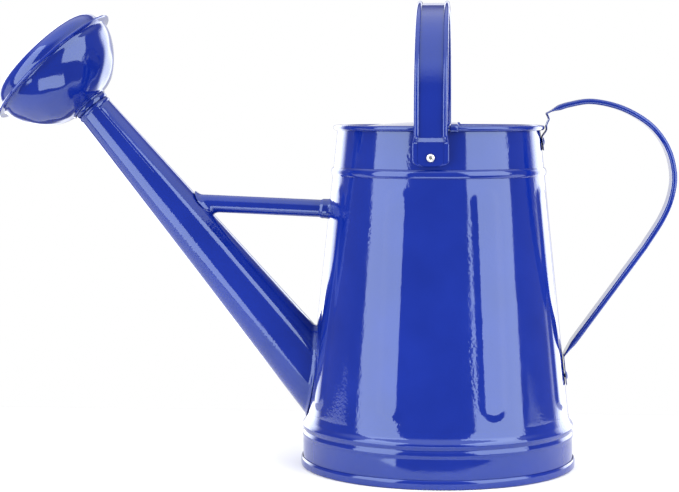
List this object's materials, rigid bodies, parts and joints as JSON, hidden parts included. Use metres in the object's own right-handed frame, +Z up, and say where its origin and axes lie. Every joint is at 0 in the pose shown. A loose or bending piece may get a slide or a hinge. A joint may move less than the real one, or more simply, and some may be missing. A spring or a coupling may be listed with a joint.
{
  "type": "watering can",
  "caption": "Tapered sheet-metal watering can with a long braced spout, a round rose, a swinging top bail and a curved back handle.",
  "frame": {"origin": "on the surface that the can stands on, under the middle of its overall length and width", "axes": "+X from the rose towards the back handle, +Y across the can, +Z up"},
  "size_m": [0.5548, 0.2254, 0.379],
  "materials": {
    "blue_enamel": "glossy cobalt-blue enamel on sheet steel, slight orange peel",
    "steel_wire": "bare drawn steel wire",
    "bare_aluminium": "bare satin aluminium"
  },
  "bodies": {
    "can": {"body_shell": "blue_enamel", "rim_wire": "steel_wire", "base_pan": "blue_enamel", "splash_cover": "blue_enamel", "spout_tube": "blue_enamel", "brace_tube": "blue_enamel", "bail_rivet_front": "bare_aluminium", "bail_rivet_rear": "bare_aluminium", "bail_mandrel_front": "steel_wire", "bail_mandrel_rear": "steel_wire", "back_handle": "blue_enamel", "handle_wire_front": "steel_wire", "handle_wire_rear": "steel_wire", "handle_rivet_upper": "blue_enamel", "handle_rivet_lower": "blue_enamel", "handle_mandrel_upper": "steel_wire", "handle_mandrel_lower": "steel_wire"},
    "bail": {"bail_strap": "blue_enamel", "bail_wire_left": "steel_wire", "bail_wire_right": "steel_wire"},
    "rose_neck": {"rose_neck": "blue_enamel"},
    "rose": {"rose_bowl": "blue_enamel", "rose_face": "blue_enamel"}
  },
  "joints": [
    {"name": "bail_swing", "type": "hinge", "parent": "can", "child": "bail", "pos_m": [0.0812, 0, 0.2539], "axis": [0, 1, 0], "range_deg": [-99, 61]},
    {"name": "rose_pull", "type": "slide", "parent": "can", "child": "rose_neck", "axis": [-0.6441, 0, 0.7649], "range_m": [0, 0.06]},
    {"name": "rose_turn", "type": "hinge", "parent": "rose_neck", "child": "rose", "pos_m": [-0.1999, 0, 0.2922], "axis": [-0.6441, 0, 0.7649], "continuous": true}
  ]
}
